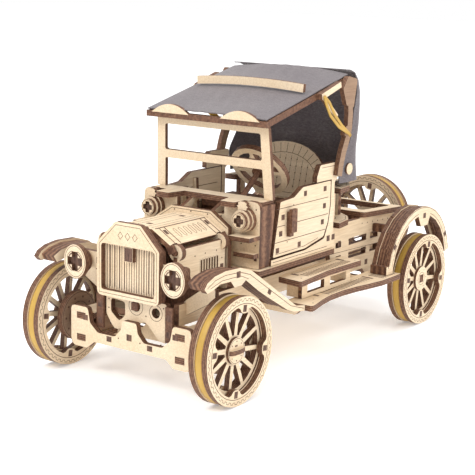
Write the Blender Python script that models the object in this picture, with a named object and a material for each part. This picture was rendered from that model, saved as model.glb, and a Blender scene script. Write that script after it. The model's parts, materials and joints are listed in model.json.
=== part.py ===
"""Laser-cut plywood vintage car kit, assembled, with one object for each sub-part.

+X is the car's left, -Y its front, +Z up. The origin is on the floor under the middle of the
model. Sizes are in millimetres, measured from the front axle, and MM turns them to metres.
"""
import math

import bmesh
import bpy
from mathutils import Matrix, Vector
from mathutils.geometry import tessellate_polygon

MM = 0.001

# Driving sizes: plywood, fits and the running gear
PLY = 4.0
THIN = 3.0
GAP = 0.3
WHEEL_R = 35.0
WHEEL_SIDES = 28
WHEEL_W = 14.0
FLANGE = 4.0
RIM_R = 27.0
GROOVE_R = 31.6
BAND_R = 34.4
SPOKES = 12
SPOKE_W = 2.8
SPOKE_PLY = 4.0
HUB_R = 9.5
WHEEL_OUT = 76.3
WHEELBASE = 247.3
AXLE_R = 3.0
SPARE_FRONT = 283.5
SPARE_Z = 68.0

# Front axle and steering
BEAM_FRONT = -16.0
BEAM_REAR = 12.0
KINGPIN_X = 41.0
KINGPIN_R = 2.5
YOKE_TOP = 42.7
YOKE_LOW = 23.8
TIE_Y = 23.0
STEERING_HUB = (17.0, 104.0, 130.5)
STEERING_WHEEL_R = 22.0
STEERING_RAKE = math.radians(-52)

# Chassis and body
FLOOR_Z = 43.8
BOARD_Z = 42.4
RAIL_X = 28.0
RAIL_TOP = 58.0
REAR_END = 262.0
BODY_Z = 68.0
BODY_X = 50.0
COWL_Y = 58.0
SILL_FRONT = 71.0
DOOR_REAR = 145.0
DOOR_TOP = 121.5
TRUNK_X = 42.0
TRUNK_FRONT = 153.0
TUB_LOW = 85.0
TUB_TOP = 114.2

# Radiator and hood
RADIATOR_Y = -18.0
HOOD_REAR = 47.2
HOOD_TOP = 105.0
HOOD_HINGE_X = 29.5
HOOD_HINGE_Z = 91.5

# Folding top
FOLD_Y = 150.0
FOLD_Z = 127.0
ROOF_Y = 161.0
ROOF_Z = 187.0
ROOF_HINGE = (0.0, 163.6, 198.0)
ROOF_FRONT = 62.0
ROOF_X = 46.0
RAIL_H = 4.5
FABRIC_T = 1.4

# Rubber-band motor gearing
MODULE = 1.5
PINION_TEETH = 8
GEAR_TEETH = 24

WHEEL_Z = WHEEL_R * math.cos(math.pi / WHEEL_SIDES)
CENTRE_Y = (SPARE_FRONT + WHEEL_W - WHEEL_Z) / 2

BIRCH = (0.80, 0.64, 0.42)
RUBBER = (0.60, 0.37, 0.07)
FABRIC = (0.16, 0.15, 0.16)


# ---------------------------------------------------------------- outlines
def rect(x0, y0, x1, y1):
    return [(x0, y0), (x1, y0), (x1, y1), (x0, y1)]


def arc(cx, cy, radius, start, end, steps):
    """Points on an arc, angles in degrees."""
    return [(cx + radius * math.cos(math.radians(start + (end - start) * i / steps)),
             cy + radius * math.sin(math.radians(start + (end - start) * i / steps)))
            for i in range(steps + 1)]


def circle(cx, cy, radius, sides=16):
    """A polygon with flat sides at the bottom and top."""
    return arc(cx, cy, radius, -90 + 180 / sides, 270 - 180 / sides, sides - 1)


def rounded(corners, steps=3):
    """Outline through (x, y, fillet radius) corners."""
    points = []
    for i, (x, y, radius) in enumerate(corners):
        here = Vector((x, y))
        before = Vector(corners[i - 1][:2]) - here
        after = Vector(corners[(i + 1) % len(corners)][:2]) - here
        if radius <= 0:
            points.append((x, y))
            continue
        half = before.angle(after) / 2
        reach = min(radius / math.tan(half), 0.49 * before.length, 0.49 * after.length)
        one, two = here + before.normalized() * reach, here + after.normalized() * reach
        for k in range(steps + 1):
            t = k / steps
            p = one * (1 - t) ** 2 + here * 2 * t * (1 - t) + two * t * t
            points.append((p.x, p.y))
    return points


def half_mirrored(half):
    """Closed outline from its right half, listed upwards; no point lies on the middle line."""
    left = [(-x, y, *rest) for x, y, *rest in reversed(half)]
    return list(half) + left


def strip(centre, width):
    """Outline of a band of one width along a line of points."""
    line = [Vector(p) for p in centre]
    left, right = [], []
    for i, p in enumerate(line):
        along = (line[min(i + 1, len(line) - 1)] - line[max(i - 1, 0)]).normalized()
        side = Vector((-along.y, along.x)) * width / 2
        left.append(tuple(p + side))
        right.append(tuple(p - side))
    return right + left[::-1]


# ---------------------------------------------------------------- meshes
PLANES = {"x": ("y", "z"), "y": ("x", "z"), "z": ("x", "y")}
UNIT = {"x": Vector((1, 0, 0)), "y": Vector((0, 1, 0)), "z": Vector((0, 0, 1))}


def model(point):
    """From millimetres behind the front axle to the model's frame in metres."""
    return Vector((point[0], point[1] - CENTRE_Y, point[2])) * MM


def new_mesh(bm, turn=None):
    """Finish a mesh; turn is (pivot, axis, angle in radians)."""
    if turn:
        pivot, axis, angle = turn
        bmesh.ops.rotate(bm, verts=bm.verts, cent=Vector(pivot), matrix=Matrix.Rotation(angle, 3, axis))
    for vert in bm.verts:
        vert.co = model(vert.co)
    bmesh.ops.recalc_face_normals(bm, faces=bm.faces)
    mesh = bpy.data.meshes.new("piece")
    bm.to_mesh(mesh)
    bm.free()
    return mesh


def plate(axis, start, end, outline, holes=(), turn=None):
    """Flat ply: a 2-D outline with holes, from start to end along its thickness axis."""
    loops = [outline, *holes]
    flat = [p for loop in loops for p in loop]
    caps = tessellate_polygon([[Vector((*p, 0)) for p in loop] for loop in loops])
    across, up = (UNIT[name] for name in PLANES[axis])
    bm = bmesh.new()
    sheets = [[bm.verts.new(across * p[0] + up * p[1] + UNIT[axis] * depth) for p in flat]
              for depth in (start, end)]
    for sheet in sheets:
        for tri in caps:
            bm.faces.new([sheet[i] for i in tri])
    first = 0
    for loop in loops:
        for i in range(len(loop)):
            a, b = first + i, first + (i + 1) % len(loop)
            bm.faces.new((sheets[0][a], sheets[0][b], sheets[1][b], sheets[1][a]))
        first += len(loop)
    return new_mesh(bm, turn)


def box(x0, x1, y0, y1, z0, z1, turn=None):
    return plate("z", z0, z1, rect(x0, y0, x1, y1), turn=turn)


def rod(axis, start, end, centre, radius, sides=10, turn=None):
    """Round bar along an axis; centre is in the plane across it."""
    return plate(axis, start, end, circle(*centre, radius, sides), turn=turn)


def turned(axis, profile, centre, sides=WHEEL_SIDES):
    """Ring turned about an axis from a closed (along, radius) profile."""
    across, up = (UNIT[name] for name in PLANES[axis])
    middle = across * centre[0] + up * centre[1]
    bm = bmesh.new()
    rings = []
    for k in range(sides):
        angle = math.radians(-90) + math.pi / sides * (2 * k + 1)
        out = across * math.cos(angle) + up * math.sin(angle)
        rings.append([bm.verts.new(middle + UNIT[axis] * a + out * r) for a, r in profile])
    for k in range(sides):
        ring, following = rings[k], rings[(k + 1) % sides]
        for i in range(len(profile)):
            j = (i + 1) % len(profile)
            bm.faces.new((ring[i], ring[j], following[j], following[i]))
    return new_mesh(bm)


def material(colour, roughness):
    name = "m_%02x%02x%02x" % tuple(int(255 * c) for c in colour)
    found = bpy.data.materials.get(name)
    if found:
        return found
    made = bpy.data.materials.new(name)
    made.use_nodes = True
    shader = made.node_tree.nodes["Principled BSDF"]
    shader.inputs["Base Color"].default_value = (*colour, 1)
    shader.inputs["Roughness"].default_value = roughness
    shader.inputs["Metallic"].default_value = 0
    return made


def place(mesh, name):
    thing = bpy.data.objects.new(name, mesh)
    bpy.context.collection.objects.link(thing)
    return thing


def boolean(mesh, others, operation):
    """The mesh joined with, or cut by, each of the others in turn."""
    helpers = [place(mesh, "base")]
    for other in others:
        helper = place(other, "helper")
        helper.hide_render = True
        helper.display_type = "WIRE"
        helpers.append(helper)
        step = helpers[0].modifiers.new(operation, "BOOLEAN")
        step.operation = operation
        step.object = helper
        step.solver = "EXACT"
    graph = bpy.context.evaluated_depsgraph_get()
    result = bpy.data.meshes.new_from_object(helpers[0].evaluated_get(graph))
    for helper in helpers:
        bpy.data.objects.remove(helper)
    return result


def piece(name, meshes, colour=BIRCH, roughness=0.6, cuts=(), parent=None, smooth=False):
    """One named sub-part: its meshes joined to one solid, less its cuts."""
    mesh = meshes[0]
    if len(meshes) > 1:
        mesh = boolean(mesh, meshes[1:], "UNION")
    if cuts:
        mesh = boolean(mesh, list(cuts), "DIFFERENCE")
    if smooth:
        mesh.shade_smooth()
        mesh.set_sharp_from_angle(angle=math.radians(30))
    thing = place(mesh, name)
    mesh.name = name
    mesh.materials.clear()
    mesh.materials.append(material(colour, roughness))
    if parent:
        thing.parent = parent
        thing.location = -parent.matrix_world.translation
    return thing


def joint(name, point):
    """Empty on a joint's axis, for the pieces that turn about it."""
    empty = bpy.data.objects.new(f"axis_{name}", None)
    empty.location = model(point)
    bpy.context.collection.objects.link(empty)
    bpy.context.view_layer.update()
    return empty


def sides():
    """Both sides of the car: its name and the sign of x."""
    return (("left", 1), ("right", -1))


def span(sign, inner, outer):
    """A stretch of x on one side, in rising order."""
    return tuple(sorted((sign * inner, sign * outer)))


# ---------------------------------------------------------------- wheels
def wheel_meshes(axis, outer, sign, centre, hub_hole):
    """Rim with a band groove, spoked disc and hub; outer is the outer face's place."""
    def along(depth):
        return outer - sign * depth

    groove = FLANGE, WHEEL_W - FLANGE
    profile = [(0, RIM_R), (0, WHEEL_R), (groove[0], WHEEL_R), (groove[0], GROOVE_R),
               (groove[1], GROOVE_R), (groove[1], WHEEL_R), (WHEEL_W, WHEEL_R), (WHEEL_W, RIM_R)]
    rim = turned(axis, [(along(a), r) for a, r in profile], centre)
    slots = []
    pitch = 360 / SPOKES
    inner, rim_side = HUB_R + 0.5, RIM_R - 0.2
    for k in range(SPOKES):
        spans = [pitch / 2 - math.degrees(math.asin(SPOKE_W / 2 / r)) for r in (inner, rim_side)]
        middle = pitch * (k + 0.5)
        slots.append(arc(*centre, inner, middle + spans[0], middle - spans[0], 1)
                     + arc(*centre, rim_side, middle - spans[1], middle + spans[1], 1))
    depth = sorted((along(5.0), along(5.0 + SPOKE_PLY)))
    disc = plate(axis, *depth, circle(*centre, RIM_R + 1.5, WHEEL_SIDES), [*slots, hub_hole])
    return [rim, disc]


def tyre_band(name, side, sign, y, parent):
    """Rubber band stretched in the rim's groove."""
    near, far = WHEEL_OUT - FLANGE - GAP, WHEEL_OUT - WHEEL_W + FLANGE + GAP
    profile = [(sign * x, r) for x, r in ((near, GROOVE_R + GAP), (near, BAND_R), (far, BAND_R),
                                          (far, GROOVE_R + GAP))]
    band = turned("x", profile, (y, WHEEL_Z))
    piece(f"{name}_{side}", [band], RUBBER, 0.5, parent=parent, smooth=True)


def front_wheels():
    for side, sign in sides():
        spin = joint(f"front_{side}_spin", (sign * WHEEL_OUT, 0, WHEEL_Z))
        centre = (0, WHEEL_Z)
        hole = circle(*centre, AXLE_R + GAP, 10)
        meshes = wheel_meshes("x", sign * WHEEL_OUT, sign, centre, hole)
        cap = WHEEL_OUT - 5.2, WHEEL_OUT - 3.0
        meshes.append(plate("x", *span(sign, *cap), circle(*centre, HUB_R - 1, 14)))
        fin = [(sign * (WHEEL_OUT - 3.2 + 0.55 * x), y) for x, y in arc(0, 0, HUB_R - 1.2, -90, 90, 6)]
        meshes.append(plate("z", WHEEL_Z - 1.3, WHEEL_Z + 1.3, fin))
        piece(f"front_wheel_{side}", meshes, parent=spin)
        tyre_band("front_tyre_band", side, sign, 0, spin)


def rear_wheels(axle_spin):
    centre = (WHEELBASE, WHEEL_Z)
    for side, sign in sides():
        half = AXLE_R + GAP
        hole = rect(centre[0] - half, centre[1] - half, centre[0] + half, centre[1] + half)
        meshes = wheel_meshes("x", sign * WHEEL_OUT, sign, centre, hole)
        piece(f"rear_wheel_{side}", meshes, parent=axle_spin)
        tyre_band("rear_tyre_band", side, sign, WHEELBASE, axle_spin)


def spare_wheel():
    """Fifth wheel, carried upright behind the trunk on its bracket's peg."""
    centre = (0, SPARE_Z)
    hole = circle(*centre, AXLE_R + GAP, 10)
    meshes = wheel_meshes("y", SPARE_FRONT + WHEEL_W, 1, centre, hole)
    near, far = SPARE_FRONT + FLANGE, SPARE_FRONT + WHEEL_W - FLANGE
    low = GROOVE_R - 0.1
    band = [(near - 0.1, low), (near - 0.1, BAND_R), (far + 0.1, BAND_R), (far + 0.1, low)]
    piece("spare_wheel", [*meshes, turned("y", band, centre)])


# ---------------------------------------------------------------- rear drive
def gear_outline(cy, cz, teeth, phase):
    """Trapezoid teeth on the pitch circle, thinned for running clearance."""
    pitch_r = MODULE * teeth / 2
    points = []
    for k in range(teeth):
        middle = 360 * k / teeth + phase
        step = 360 / teeth
        for r, share in ((pitch_r - 1.1 * MODULE, -0.30), (pitch_r + 0.8 * MODULE, -0.11),
                         (pitch_r + 0.8 * MODULE, 0.11), (pitch_r - 1.1 * MODULE, 0.30)):
            angle = math.radians(middle + share * step)
            points.append((cy + r * math.cos(angle), cz + r * math.sin(angle)))
    return points


def motor_centre():
    """The big gear sits ahead of and above the axle, one centre distance away."""
    reach = MODULE * (PINION_TEETH + GEAR_TEETH) / 2 + GAP
    return WHEELBASE - reach * math.cos(math.radians(45)), WHEEL_Z + reach * math.sin(math.radians(45))


def rear_drive():
    axle_spin = joint("rear_axle_spin", (0, WHEELBASE, WHEEL_Z))
    half = AXLE_R
    centre = (WHEELBASE, WHEEL_Z)
    bars = [rod("x", -WHEEL_OUT + 13, WHEEL_OUT - 13, centre, AXLE_R)]
    for _, sign in sides():
        inner, outer = span(sign, WHEEL_OUT - WHEEL_W - 1, WHEEL_OUT - 3.5)
        bars.append(box(inner, outer, centre[0] - half, centre[0] + half, centre[1] - half, centre[1] + half))
    bars.append(plate("x", -PLY / 2, PLY / 2, gear_outline(*centre, PINION_TEETH, 0)))
    piece("rear_axle", bars, parent=axle_spin)
    rear_wheels(axle_spin)

    motor = motor_centre()
    motor_spin = joint("motor_spin", (0, *motor))
    # a tooth of the pinion points up and forward at 135 degrees, so the big gear shows a gap there
    phase = -45 + 180 / GEAR_TEETH + 135 * PINION_TEETH % 360 / GEAR_TEETH
    gear = plate("x", -PLY / 2, PLY / 2, gear_outline(*motor, GEAR_TEETH, phase))
    shaft = rod("x", -RAIL_X - PLY - 2, RAIL_X + PLY + 2, motor, KINGPIN_R)
    bobbin = rod("x", 8, 20, motor, 7, 16)
    piece("motor_gear", [gear, shaft, bobbin], parent=motor_spin)


# ---------------------------------------------------------------- front axle
def beam_outline():
    half = [(30, 24.5, 3), (36, 19.5, 2), (48, 19.5, 3), (50, 24, 2), (50, 47, 3),
            (35.5, 47, 2.5), (33.5, 37, 3), (27, 31.5, 3), (12, 31.5, 3), (7, 37, 3),
            (6, 43.5, 2)]
    return rounded(half_mirrored(half), 2)


def yoke_squares(sign, clearance):
    """Square tenon outlines of the two yoke plates in the beam's plane."""
    middle = KINGPIN_X + 0.2
    x0, x1 = span(sign, middle - 3.5 - clearance, middle + 3.5 + clearance)
    return [rect(x0, z - clearance, x1, z + PLY + clearance) for z in (YOKE_TOP - PLY, YOKE_LOW)]


def front_axle():
    """Front beam, and the rear beam glued to the two yokes with their kingpins."""
    holes = [hole for _, sign in sides() for hole in yoke_squares(sign, GAP)]
    piece("front_axle_beam", [plate("y", BEAM_FRONT, BEAM_FRONT + PLY, beam_outline(), holes)])
    low, high = YOKE_LOW + PLY + GAP, YOKE_TOP - PLY - GAP
    windows = [box(*span(sign, 25, 46), BEAM_REAR - 1, BEAM_REAR + PLY + 1, low, high) for _, sign in sides()]
    meshes = [boolean(plate("y", BEAM_REAR, BEAM_REAR + PLY, beam_outline()), windows, "DIFFERENCE")]
    for _, sign in sides():
        x0, x1 = span(sign, 33.8, 49.7)
        for z in (YOKE_TOP - PLY, YOKE_LOW):
            meshes.append(box(x0, x1, BEAM_FRONT + PLY + GAP, BEAM_REAR + 0.5, z, z + PLY))
        for square in yoke_squares(sign, 0):
            meshes.append(plate("y", BEAM_FRONT, 0, square))
        pin = (sign * KINGPIN_X, 0)
        meshes.append(rod("z", YOKE_LOW + 1, YOKE_TOP - 1, pin, KINGPIN_R))
    piece("front_axle_frame", meshes)


def steering_knuckles():
    """Blocks that swing on the kingpins, with stub axle, brake drum and steering arm."""
    for side, sign in sides():
        steer = joint(f"steer_{side}", (sign * KINGPIN_X, 0, WHEEL_Z))
        pin = (sign * KINGPIN_X, 0)
        low, high = YOKE_LOW + PLY + GAP, YOKE_TOP - PLY - GAP
        x0, x1 = span(sign, KINGPIN_X - 6, KINGPIN_X + 10)
        block = plate("z", low, high, rect(x0, -6, x1, 6), [circle(*pin, KINGPIN_R + GAP, 10)])
        centre = (0, WHEEL_Z)
        stub = rod("x", *span(sign, KINGPIN_X + 8, WHEEL_OUT - 5.6), centre, AXLE_R)
        drum = rod("x", *span(sign, WHEEL_OUT - WHEEL_W - 4.6, WHEEL_OUT - WHEEL_W - 0.6), centre, 17, 20)
        tip = sign * (KINGPIN_X - 4)
        arm = plate("z", low, low + THIN, strip([(tip, 4), (tip, TIE_Y)], 4.0))
        peg = rod("z", low + 1, low + 2 * THIN + 1, (tip, TIE_Y), 1.6, 10)
        piece(f"steering_knuckle_{side}", [block, stub, drum, arm, peg], parent=steer)


def tie_rod():
    """Rod across the car that turns both arms; its slots let the pegs swing."""
    low = YOKE_LOW + PLY + GAP + THIN + GAP
    reach = KINGPIN_X - 4
    slot = [rect(s * reach - 2.4, TIE_Y - 4.2, s * reach + 2.4, TIE_Y + 2.6) for _, s in sides()]
    right = [(reach - 9, TIE_Y - 3, 0), (reach - 6, TIE_Y - 6, 1), (reach + 5, TIE_Y - 6, 2),
             (reach + 5, TIE_Y + 4.6, 2), (reach - 6, TIE_Y + 4.6, 1), (reach - 9, TIE_Y + 3, 0)]
    outline = rounded(half_mirrored(right), 1)
    piece("tie_rod", [plate("z", low, low + THIN, outline, slot)], parent=joint("tie_slide", (0, TIE_Y, low)))


def steering_wheel():
    """Rim with four spokes and its column, turned about the raked column axis."""
    hub = Vector(STEERING_HUB)
    turn = joint("steering", hub)
    tilt = (hub, "X", STEERING_RAKE)
    inner, outer = 5.5, STEERING_WHEEL_R - 4.5
    windows = []
    for k in range(4):
        middle = 90 * k + 45
        spans = [45 - math.degrees(math.asin(half / r)) for half, r in ((2.0, inner), (1.5, outer))]
        windows.append(arc(hub.x, hub.y, inner, middle + spans[0], middle - spans[0], 2)
                       + arc(hub.x, hub.y, outer, middle - spans[1], middle + spans[1], 5))
    rim = plate("z", hub.z - 2, hub.z + 2, circle(hub.x, hub.y, STEERING_WHEEL_R, 24), windows,
                turn=tilt)
    boss = rod("z", hub.z - 4, hub.z + 3, (hub.x, hub.y), 4.6, 12, turn=tilt)
    column = rod("z", hub.z - 48, hub.z - 3, (hub.x, hub.y), 2, turn=tilt)
    piece("steering_wheel", [rim, boss, column], parent=turn)


# ---------------------------------------------------------------- chassis
def chassis():
    """Floor ply between two side rails, outriggers for the boards and feet for the body."""
    motor = motor_centre()
    slot = rect(-6, motor[0] - GEAR_TEETH * MODULE / 2 - 4, 22, REAR_END - 3)
    floor_front = BEAM_FRONT + 2 * PLY + 2.6
    floor = plate("z", FLOOR_Z, FLOOR_Z + PLY, rect(-RAIL_X - 1, floor_front, RAIL_X + 1, REAR_END), [slot])
    meshes = [floor]
    low = WHEEL_Z - 7
    rail = rounded([(floor_front, FLOOR_Z, 0), (WHEELBASE - 24, FLOOR_Z, 4), (WHEELBASE - 8, low, 4),
                    (WHEELBASE + 8, low, 4), (REAR_END, FLOOR_Z, 2), (REAR_END, RAIL_TOP, 0),
                    (floor_front, RAIL_TOP, 0)])
    holes = [circle(WHEELBASE, WHEEL_Z, AXLE_R + GAP, 10), circle(*motor, KINGPIN_R + GAP, 10)]
    for _, sign in sides():
        meshes.append(plate("x", *span(sign, RAIL_X, RAIL_X + PLY), rail, holes))
    for y in (84, 196):
        arm = rounded(half_mirrored([(62, BOARD_Z - 4.3, 2), (66, BOARD_Z - GAP, 0), (34, BOARD_Z - GAP, 0),
                                     (31, FLOOR_Z + 1, 0)]), 2)
        meshes.append(plate("y", y, y + PLY, arm))
    for _, sign in sides():
        bracket = [(29, 50), (32, 50), (54.6, 63), (54.6, 70), (46, 70), (32, 60), (29, 57)]
        meshes.append(plate("y", 2, 6, [(sign * x, z) for x, z in bracket]))
    piece("chassis_frame", meshes)
    risers = [box(-RAIL_X, RAIL_X, y, y + PLY, FLOOR_Z + PLY + GAP, BODY_Z + 1) for y in (80, 134)]
    floor_board = rounded([(-BODY_X - 2, 54, 1), (BODY_X + 2, 54, 1), (BODY_X + 2, 150, 1),
                           (-BODY_X - 2, 150, 1)], 2)
    piece("body_floor", [plate("z", BODY_Z, BODY_Z + PLY, floor_board), *risers])


# ---------------------------------------------------------------- radiator, engine and hood
def radiator():
    outline = rounded(half_mirrored([(25.6, 58.4, 4), (25.6, 93.1, 2), (10.4, 108.2, 3)]))
    window = rounded([(-22, 62.4, 2), (22, 62.4, 2), (22, 93, 2), (-22, 93, 2)], 2)
    y = RADIATOR_Y
    piece("radiator_shell", [plate("y", y, y + PLY, outline, [window])])
    y += PLY + GAP
    back = rounded(half_mirrored([(24.8, 58.8, 2), (24.8, 74, 0), (44, 74, 2), (44, 85, 2),
                                  (24.8, 85, 0), (24.8, 92, 0), (10, 106.4, 2)]), 2)
    slats = [rect(x - 0.35, 64, x + 0.35, 91) for x in range(-18, 19, 4) if abs(x) > 4]
    grille = plate("y", y, y + PLY - 0.3, back, slats)
    tab = box(-3.4, 3.4, RADIATOR_Y + 1, y + 1, 83, 92.4)
    piece("radiator_grille", [grille, tab])


def engine():
    """Plate under the radiator, block in the hood and the cranked shaft through them."""
    y = RADIATOR_Y + 2 * PLY + 2 * GAP
    outline = rounded([(-25, 44, 3), (-18, 34, 4), (-2, 39, 4), (8, 44, 4), (18, 34, 4), (25, 31, 3),
                       (25, 58, 1), (-25, 58, 1)], 2)
    holes = [circle(0, 52.6, AXLE_R + 0.6, 12), circle(16.5, 50.8, 3.4, 14),
             rounded([(-21, 46, 2), (-14, 40, 3), (-9, 45, 2), (-9, 54, 2), (-21, 55, 2)], 2)]
    piece("engine_front_plate", [plate("y", y, y + PLY, outline, holes)])
    spin = joint("crank_spin", (0, y, 52.6))
    shaft = rod("y", y - 1.5, 30, (0, 52.6), AXLE_R - 0.3, 12)
    fan = rod("y", y + PLY + 1, y + PLY + 1 + THIN, (0, 52.6), 4.5, 12)
    nut = box(-2.6, 2.6, y - 1.6, y - GAP, 50, 55.2)
    piece("crank_shaft", [shaft, fan, nut], parent=spin)
    block = [box(-17, 17, 6, 40, FLOOR_Z + PLY + GAP, 74)]
    for k in range(4):
        block.append(rod("z", 73, 88, (0, 10.5 + 8.4 * k), 3.6, 12))
    bore = rod("y", 5, 31, (0, 52.6), AXLE_R + GAP, 10)
    piece("engine_block", block, cuts=[bore])


def hood():
    y0, y1 = RADIATOR_Y + 2 * PLY + 0.4, HOOD_REAR
    top = [(28, 96.3), (13, HOOD_TOP)]
    outline = [*top, *[(-x, z) for x, z in reversed(top)],
               (-25.8, 94.2), (-12.2, HOOD_TOP - THIN), (12.2, HOOD_TOP - THIN), (25.8, 94.2)]
    meshes = []
    notches = []
    for _, sign in sides():
        eye = (sign * HOOD_HINGE_X, HOOD_HINGE_Z)
        notches += [rod("y", y, y + 5, eye, 6.2, 16) for y in (y0 + 2.7, y1 - 7.7)]
        for start, pin_end in ((y0, y0 + 7.4), (y1 - 2.4, y1 - 7.4)):
            hook = strip([(sign * 26.5, 96), (sign * (HOOD_HINGE_X - 0.5), HOOD_HINGE_Z)], 5)
            meshes.append(plate("y", start, start + 2.4, hook))
            meshes.append(rod("y", *sorted((start + 1, pin_end)), eye, 1.8, 8))
    shell = boolean(plate("y", y0, y1, outline), notches, "DIFFERENCE")
    piece("hood_top", [shell, *meshes])
    for side, sign in sides():
        fold = joint(f"hood_{side}", (sign * HOOD_HINGE_X, 20, HOOD_HINGE_Z))
        front, rear = y0 + 3.0, y1 - 3.0
        slots = [rect(y, 75, y + 1.5, 83) for y in (18 + 2.9 * k for k in range(7))]
        x0, x1 = span(sign, HOOD_HINGE_X - 1.5, HOOD_HINGE_X + 1.5)
        panel = [(front, 70), (rear, 70), (rear, 88.6), (rear - 4.6, 88.6), (rear - 4.6, 93),
                 (front + 4.6, 93), (front + 4.6, 88.6), (front, 88.6)]
        eye = (sign * HOOD_HINGE_X, HOOD_HINGE_Z)
        meshes = [plate("x", x0, x1, panel, slots)]
        for start in (front + 0.2, rear - 4.2):
            meshes.append(plate("y", start, start + 4, circle(*eye, 5.4, 16), [circle(*eye, 1.8 + GAP, 8)]))
        piece(f"hood_side_{side}", meshes, parent=fold)
    firewall = rounded(half_mirrored([(31, RAIL_TOP + GAP, 2), (31, 99.6, 1), (16.6, 109, 1)]), 2)
    piece("hood_rear_plate", [plate("y", HOOD_REAR + GAP, HOOD_REAR + GAP + PLY, firewall)])


def headlights():
    for side, sign in sides():
        centre = (sign * 40.3, 78.6)
        cross = [(2.6, 2.6), (2.6, 6.4), (-2.6, 6.4), (-2.6, 2.6), (-6.4, 2.6), (-6.4, -2.6), (-2.6, -2.6),
                 (-2.6, -6.4), (2.6, -6.4), (2.6, -2.6), (6.4, -2.6), (6.4, 2.6)]
        opening = [(centre[0] + a, centre[1] + b) for a, b in cross]
        front = RADIATOR_Y - 5
        rim = [(centre[0] + 9.4 * math.cos(a), centre[1] + 11.2 * math.sin(a))
               for a in (math.tau * (k + 0.5) / 24 for k in range(24))]
        ring = plate("y", front, front + PLY, rim, [opening])
        back = plate("y", front + PLY - 0.2, RADIATOR_Y + 2.4, circle(*centre, 8.6, 16))
        stem = rod("y", RADIATOR_Y + 2.2, RADIATOR_Y + PLY, centre, 3)
        piece(f"headlight_{side}", [ring, back, stem])


# ---------------------------------------------------------------- body
def cowl():
    """Upright panel behind the hood, with lamp shelves, under a narrow top board."""
    low = BODY_Z + PLY + GAP
    outline = rounded(half_mirrored([(BODY_X - 1, low, 1), (BODY_X - 1, 117, 6), (38, 117, 1), (38, 113.4, 0),
                                     (20, 113.4, 1), (20, 106, 1)]))
    meshes = [plate("y", COWL_Y, COWL_Y + PLY, outline)]
    for _, sign in sides():
        for z, front, outer in ((92, 46, 49), (80.2, 52, 48.6)):
            shelf = [(sign * 32.4, front), (sign * outer, front), (sign * outer, COWL_Y + 1),
                     (sign * 32.4, COWL_Y + 1)]
            meshes.append(plate("z", z, z + THIN, shelf))
    for _, sign in sides():
        cheek = [(COWL_Y + 1, low), (SILL_FRONT - 1, low), (75.6, 110), (75.6, 114), (COWL_Y + 1, 114)]
        meshes.append(plate("x", *span(sign, BODY_X - 6, BODY_X - 1), cheek))
    top = rounded(half_mirrored([(19, 64.5, 0), (22, 50.5, 1), (33.2, 50.5, 2), (33.2, 62.4, 0),
                                 (BODY_X - 3, 62.4, 2), (BODY_X - 3, 77, 1)][::-1]), 2)
    meshes.append(plate("z", 112.8, 116.4, top))
    piece("cowl_panel", meshes)


def cowl_lamps():
    for side, sign in sides():
        centre = (sign * 38.4, 104.8)
        petals = [(1.9, 1.9), (1.5, 3.9), (-1.5, 3.9), (-1.9, 1.9), (-3.9, 1.5), (-3.9, -1.5), (-1.9, -1.9),
                  (-1.5, -3.9), (1.5, -3.9), (1.9, -1.9), (3.9, -1.5), (3.9, 1.5)]
        opening = [(centre[0] + a, centre[1] + b) for a, b in petals]
        front = 48.5
        lens = plate("y", front, front + THIN, circle(*centre, 5.6, 14), [opening])
        back = plate("y", front + THIN - 0.2, front + 6, circle(*centre, 7.2, 14))
        rear = plate("y", front + 5.8, COWL_Y - GAP, circle(*centre, 8.2, 14))
        finial = [(3.4, 7), (3.4, 8.6), (4.6, 9.2), (3, 10.4), (3.6, 11.4), (1.6, 12.6)]
        steps = [(centre[0] + a, centre[1] + b) for a, b in finial]
        steps += [(centre[0] - a, centre[1] + b) for a, b in reversed(finial)]
        cap = plate("y", front + 4, front + 7, steps)
        piece(f"cowl_lamp_{side}", [lens, back, rear, cap])


def windshield():
    low = 116.4 + GAP
    pivot = Vector((0, 74.5, low))
    outline = half_mirrored([(40.9, 137, 1), (42, low, 0), (49, low, 0.5), (46.5, 165.4, 1)])
    upper = rounded([(-40.8, 142.8, 1), (40.8, 142.8, 1), (39.9, 161, 1), (-39.9, 161, 1)], 1)
    frame = plate("y", 72.6, 75.6, rounded(outline, 2), [upper], turn=(pivot, "X", math.radians(4.5)))
    piece("windshield_frame", [frame])


def body_sides():
    """Fixed strip under each door, rear post and arm rest with the fold's pivot hole."""
    low = BODY_Z + PLY + GAP
    post = DOOR_REAR + 0.6
    for side, sign in sides():
        outline = rounded([(SILL_FRONT, low, 0), (post + 6, low, 1), (post + 6, 82, 1),
                           (post + 4.4, 84, 1), (post + 4.4, 120, 1), (post + 8.4, 123, 1),
                           (post + 8.4, 134, 2), (130, 134, 2), (126, 126, 2), (126, DOOR_TOP + 0.8, 0),
                           (post, DOOR_TOP + 0.8, 0), (post, 104, 0), (post - 2.4, 91.4, 3), (138, 80.8, 3),
                           (113, 76.4, 9), (SILL_FRONT, 76.2, 0)])
        hole = circle(FOLD_Y, FOLD_Z, 2 + GAP, 10)
        x = span(sign, BODY_X - PLY, BODY_X)
        piece(f"body_side_{side}", [plate("x", *x, outline, [hole])])


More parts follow.
